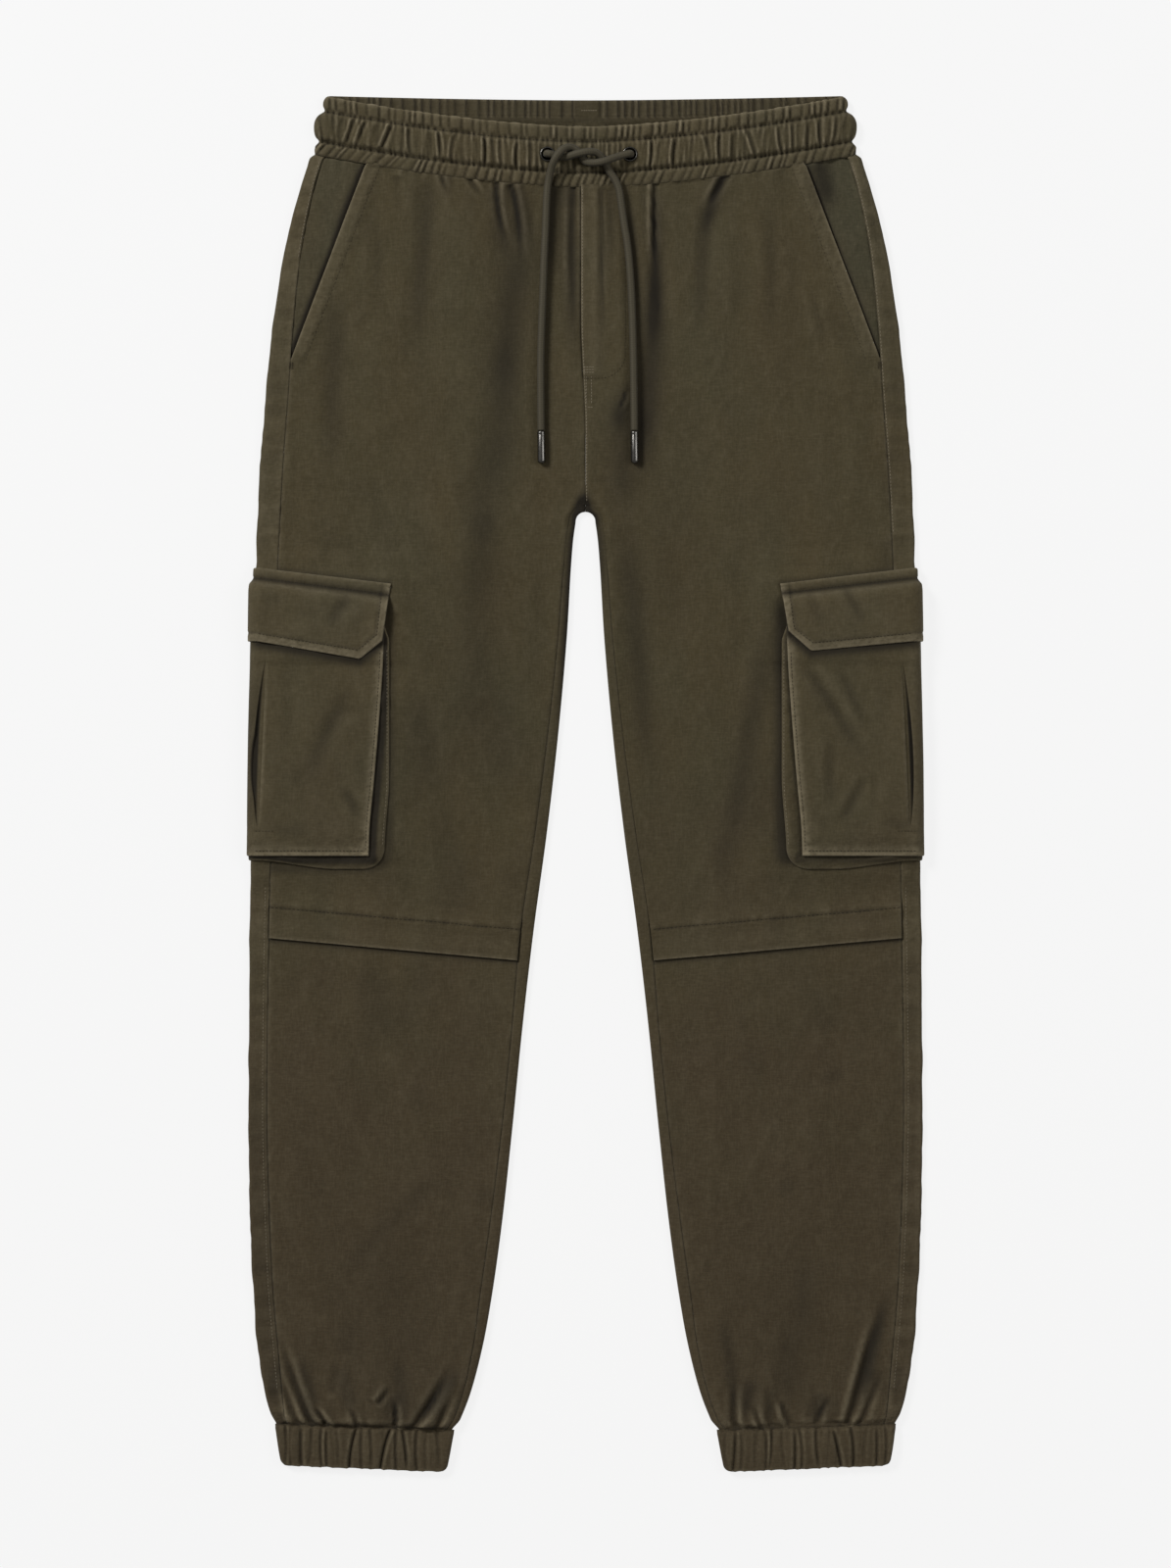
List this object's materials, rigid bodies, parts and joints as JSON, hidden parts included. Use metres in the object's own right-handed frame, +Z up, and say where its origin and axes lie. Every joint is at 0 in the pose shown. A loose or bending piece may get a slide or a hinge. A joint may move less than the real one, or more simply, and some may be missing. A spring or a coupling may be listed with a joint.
{
  "type": "cargo trousers",
  "caption": "Cuffed cargo trousers with a drawcord waist, slash pockets and flapped cargo pockets, lying flat and face up.",
  "frame": {"origin": "on the surface the trousers lie on, under the middle of their outline", "axes": "+Z up from the surface, +Y from the hems to the waist, +X towards the wearer's left leg"},
  "size_m": [0.505, 1.0259, 0.02],
  "materials": {
    "cloth": "washed cotton twill, dark olive brown, matt",
    "facing_cloth": "the same twill, less worn",
    "cord": "closely woven round cord, dull",
    "gunmetal": "dark polished gunmetal"
  },
  "bodies": {
    "root": {"waistband": "cloth", "back_leg_left": "cloth", "front_thigh_left": "cloth", "front_shin_left": "cloth", "pocket_facing_left": "facing_cloth", "pocket_bellows_left": "cloth", "pocket_pouch_left": "cloth", "pocket_flap_left": "cloth", "cuff_left": "cloth", "eyelet_left": "gunmetal", "back_leg_right": "cloth", "front_thigh_right": "cloth", "front_shin_right": "cloth", "pocket_facing_right": "facing_cloth", "pocket_bellows_right": "cloth", "pocket_pouch_right": "cloth", "pocket_flap_right": "cloth", "cuff_right": "cloth", "eyelet_right": "gunmetal", "drawcord_from_right_eyelet": "cord", "aglet_right_cord": "gunmetal", "drawcord_from_left_eyelet": "cord", "aglet_left_cord": "gunmetal"}
  },
  "joints": []
}
